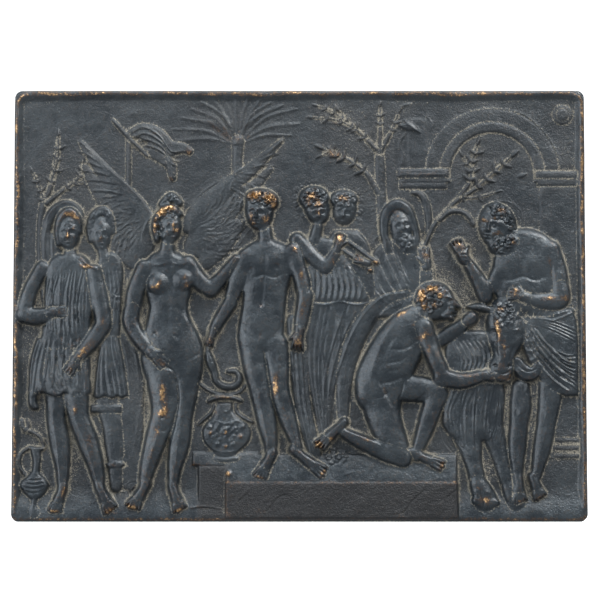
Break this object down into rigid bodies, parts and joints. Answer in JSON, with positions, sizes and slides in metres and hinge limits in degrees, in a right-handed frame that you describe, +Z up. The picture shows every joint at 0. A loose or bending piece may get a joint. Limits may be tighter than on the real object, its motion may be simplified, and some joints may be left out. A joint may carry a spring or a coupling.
{
  "type": "relief plaque",
  "caption": "small upright cast bronze plaque with a raised rim and a crowded classical figure scene in low relief on its front and a plain flat back",
  "frame": {"origin": "centre of the flat back face, which rests on the wall", "axes": "+Z up along the plaque's height, +X to the right along its width as seen from the front, +Y into the wall; the relief faces -Y"},
  "size_m": [0.102, 0.0047, 0.077],
  "materials": {
    "bronze": "dark slate-blue patina, waxed, with bare golden bronze on worn edges and pale dust in the recesses"
  },
  "bodies": {
    "root": {"relief_plaque": "bronze"}
  },
  "joints": []
}
